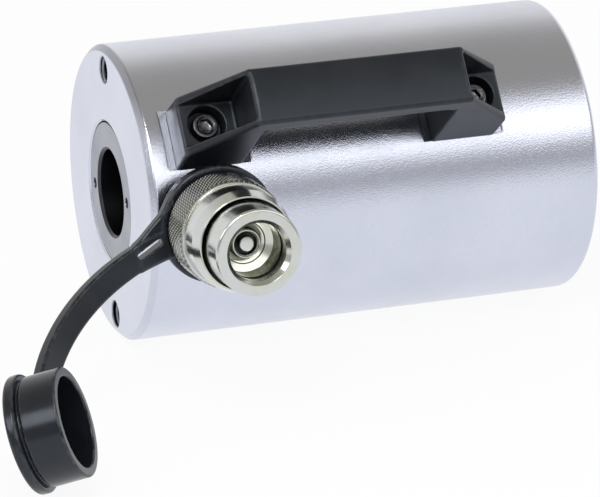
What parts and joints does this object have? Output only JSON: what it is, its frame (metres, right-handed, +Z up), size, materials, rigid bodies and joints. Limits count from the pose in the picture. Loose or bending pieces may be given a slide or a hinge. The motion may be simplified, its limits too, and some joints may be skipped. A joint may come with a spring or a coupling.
{
  "type": "hollow plunger cylinder",
  "caption": "Round hydraulic cylinder with a hollow plunger, a through centre hole, a side coupler with a tethered rubber dust cap, and a black bridge handle.",
  "frame": {"origin": "centre of the base face, on the axis of the centre hole", "axes": "+X along the centre hole from the base to the plunger end, +Z up with the body lying on its round side, the coupler towards -Y"},
  "size_m": [0.2632, 0.2175, 0.1246],
  "materials": {
    "body_satin_plate": "satin nickel plate, bead blasted",
    "tube_steel": "turned",
    "plunger_chrome": "hard chrome",
    "seal_rubber": "matte",
    "wear_plastic": "plain",
    "spring_steel": "oiled",
    "gland_steel": "blackened and turned",
    "bearing_bronze": "turned",
    "saddle_steel": "hardened",
    "handle_plastic": "fine grain, moulded",
    "screw_steel": "black oxide",
    "coupler_zinc": "yellow zinc plate",
    "guide_brass": "plain",
    "cap_rubber": "moulded, soft sheen"
  },
  "bodies": {
    "cylinder": {"cylinder_body": "body_satin_plate", "center_tube": "tube_steel", "tube_seal": "seal_rubber", "return_spring": "spring_steel", "gland_nut": "gland_steel", "gland_bearing": "bearing_bronze", "plunger_wiper": "seal_rubber", "handle": "handle_plastic", "handle_screw_base": "screw_steel", "handle_screw_end": "screw_steel", "port_seal": "seal_rubber", "coupler_adapter": "coupler_zinc", "collar_washer": "coupler_zinc", "coupler_body": "coupler_zinc", "mouth_seal": "seal_rubber", "valve_guide": "guide_brass", "poppet_spring": "spring_steel"},
    "plunger": {"plunger": "plunger_chrome", "piston_seal": "seal_rubber", "piston_backup_ring": "wear_plastic", "piston_wear_ring": "wear_plastic", "inner_seal": "seal_rubber", "inner_wear_ring": "wear_plastic", "saddle": "saddle_steel"},
    "coupler_collar": {"coupler_collar": "coupler_zinc"},
    "poppet": {"poppet": "coupler_zinc"},
    "dust_cap": {"dust_cap": "cap_rubber"}
  },
  "joints": [
    {"name": "plunger_slide", "type": "slide", "parent": "cylinder", "child": "plunger", "axis": [1, 0, 0], "range_m": [0, 0.064], "stiffness_N_per_m": 4000, "springref_m": -0.05, "deforming": ["return_spring"]},
    {"name": "collar_spin", "type": "hinge", "parent": "cylinder", "child": "coupler_collar", "pos_m": [0.0222, -0.08245, 0.00954], "axis": [0, -0.9934, 0.1149], "continuous": true},
    {"name": "poppet_slide", "type": "slide", "parent": "cylinder", "child": "poppet", "axis": [0, 0.9934, -0.1149], "range_m": [0, 0.0035], "stiffness_N_per_m": 1500, "springref_m": -0.004, "deforming": ["poppet_spring"]},
    {"name": "cap_swivel", "type": "hinge", "parent": "cylinder", "child": "dust_cap", "pos_m": [0.0222, -0.06527, 0.00755], "axis": [0, -0.9934, 0.1149], "range_deg": [-60, 175]}
  ]
}
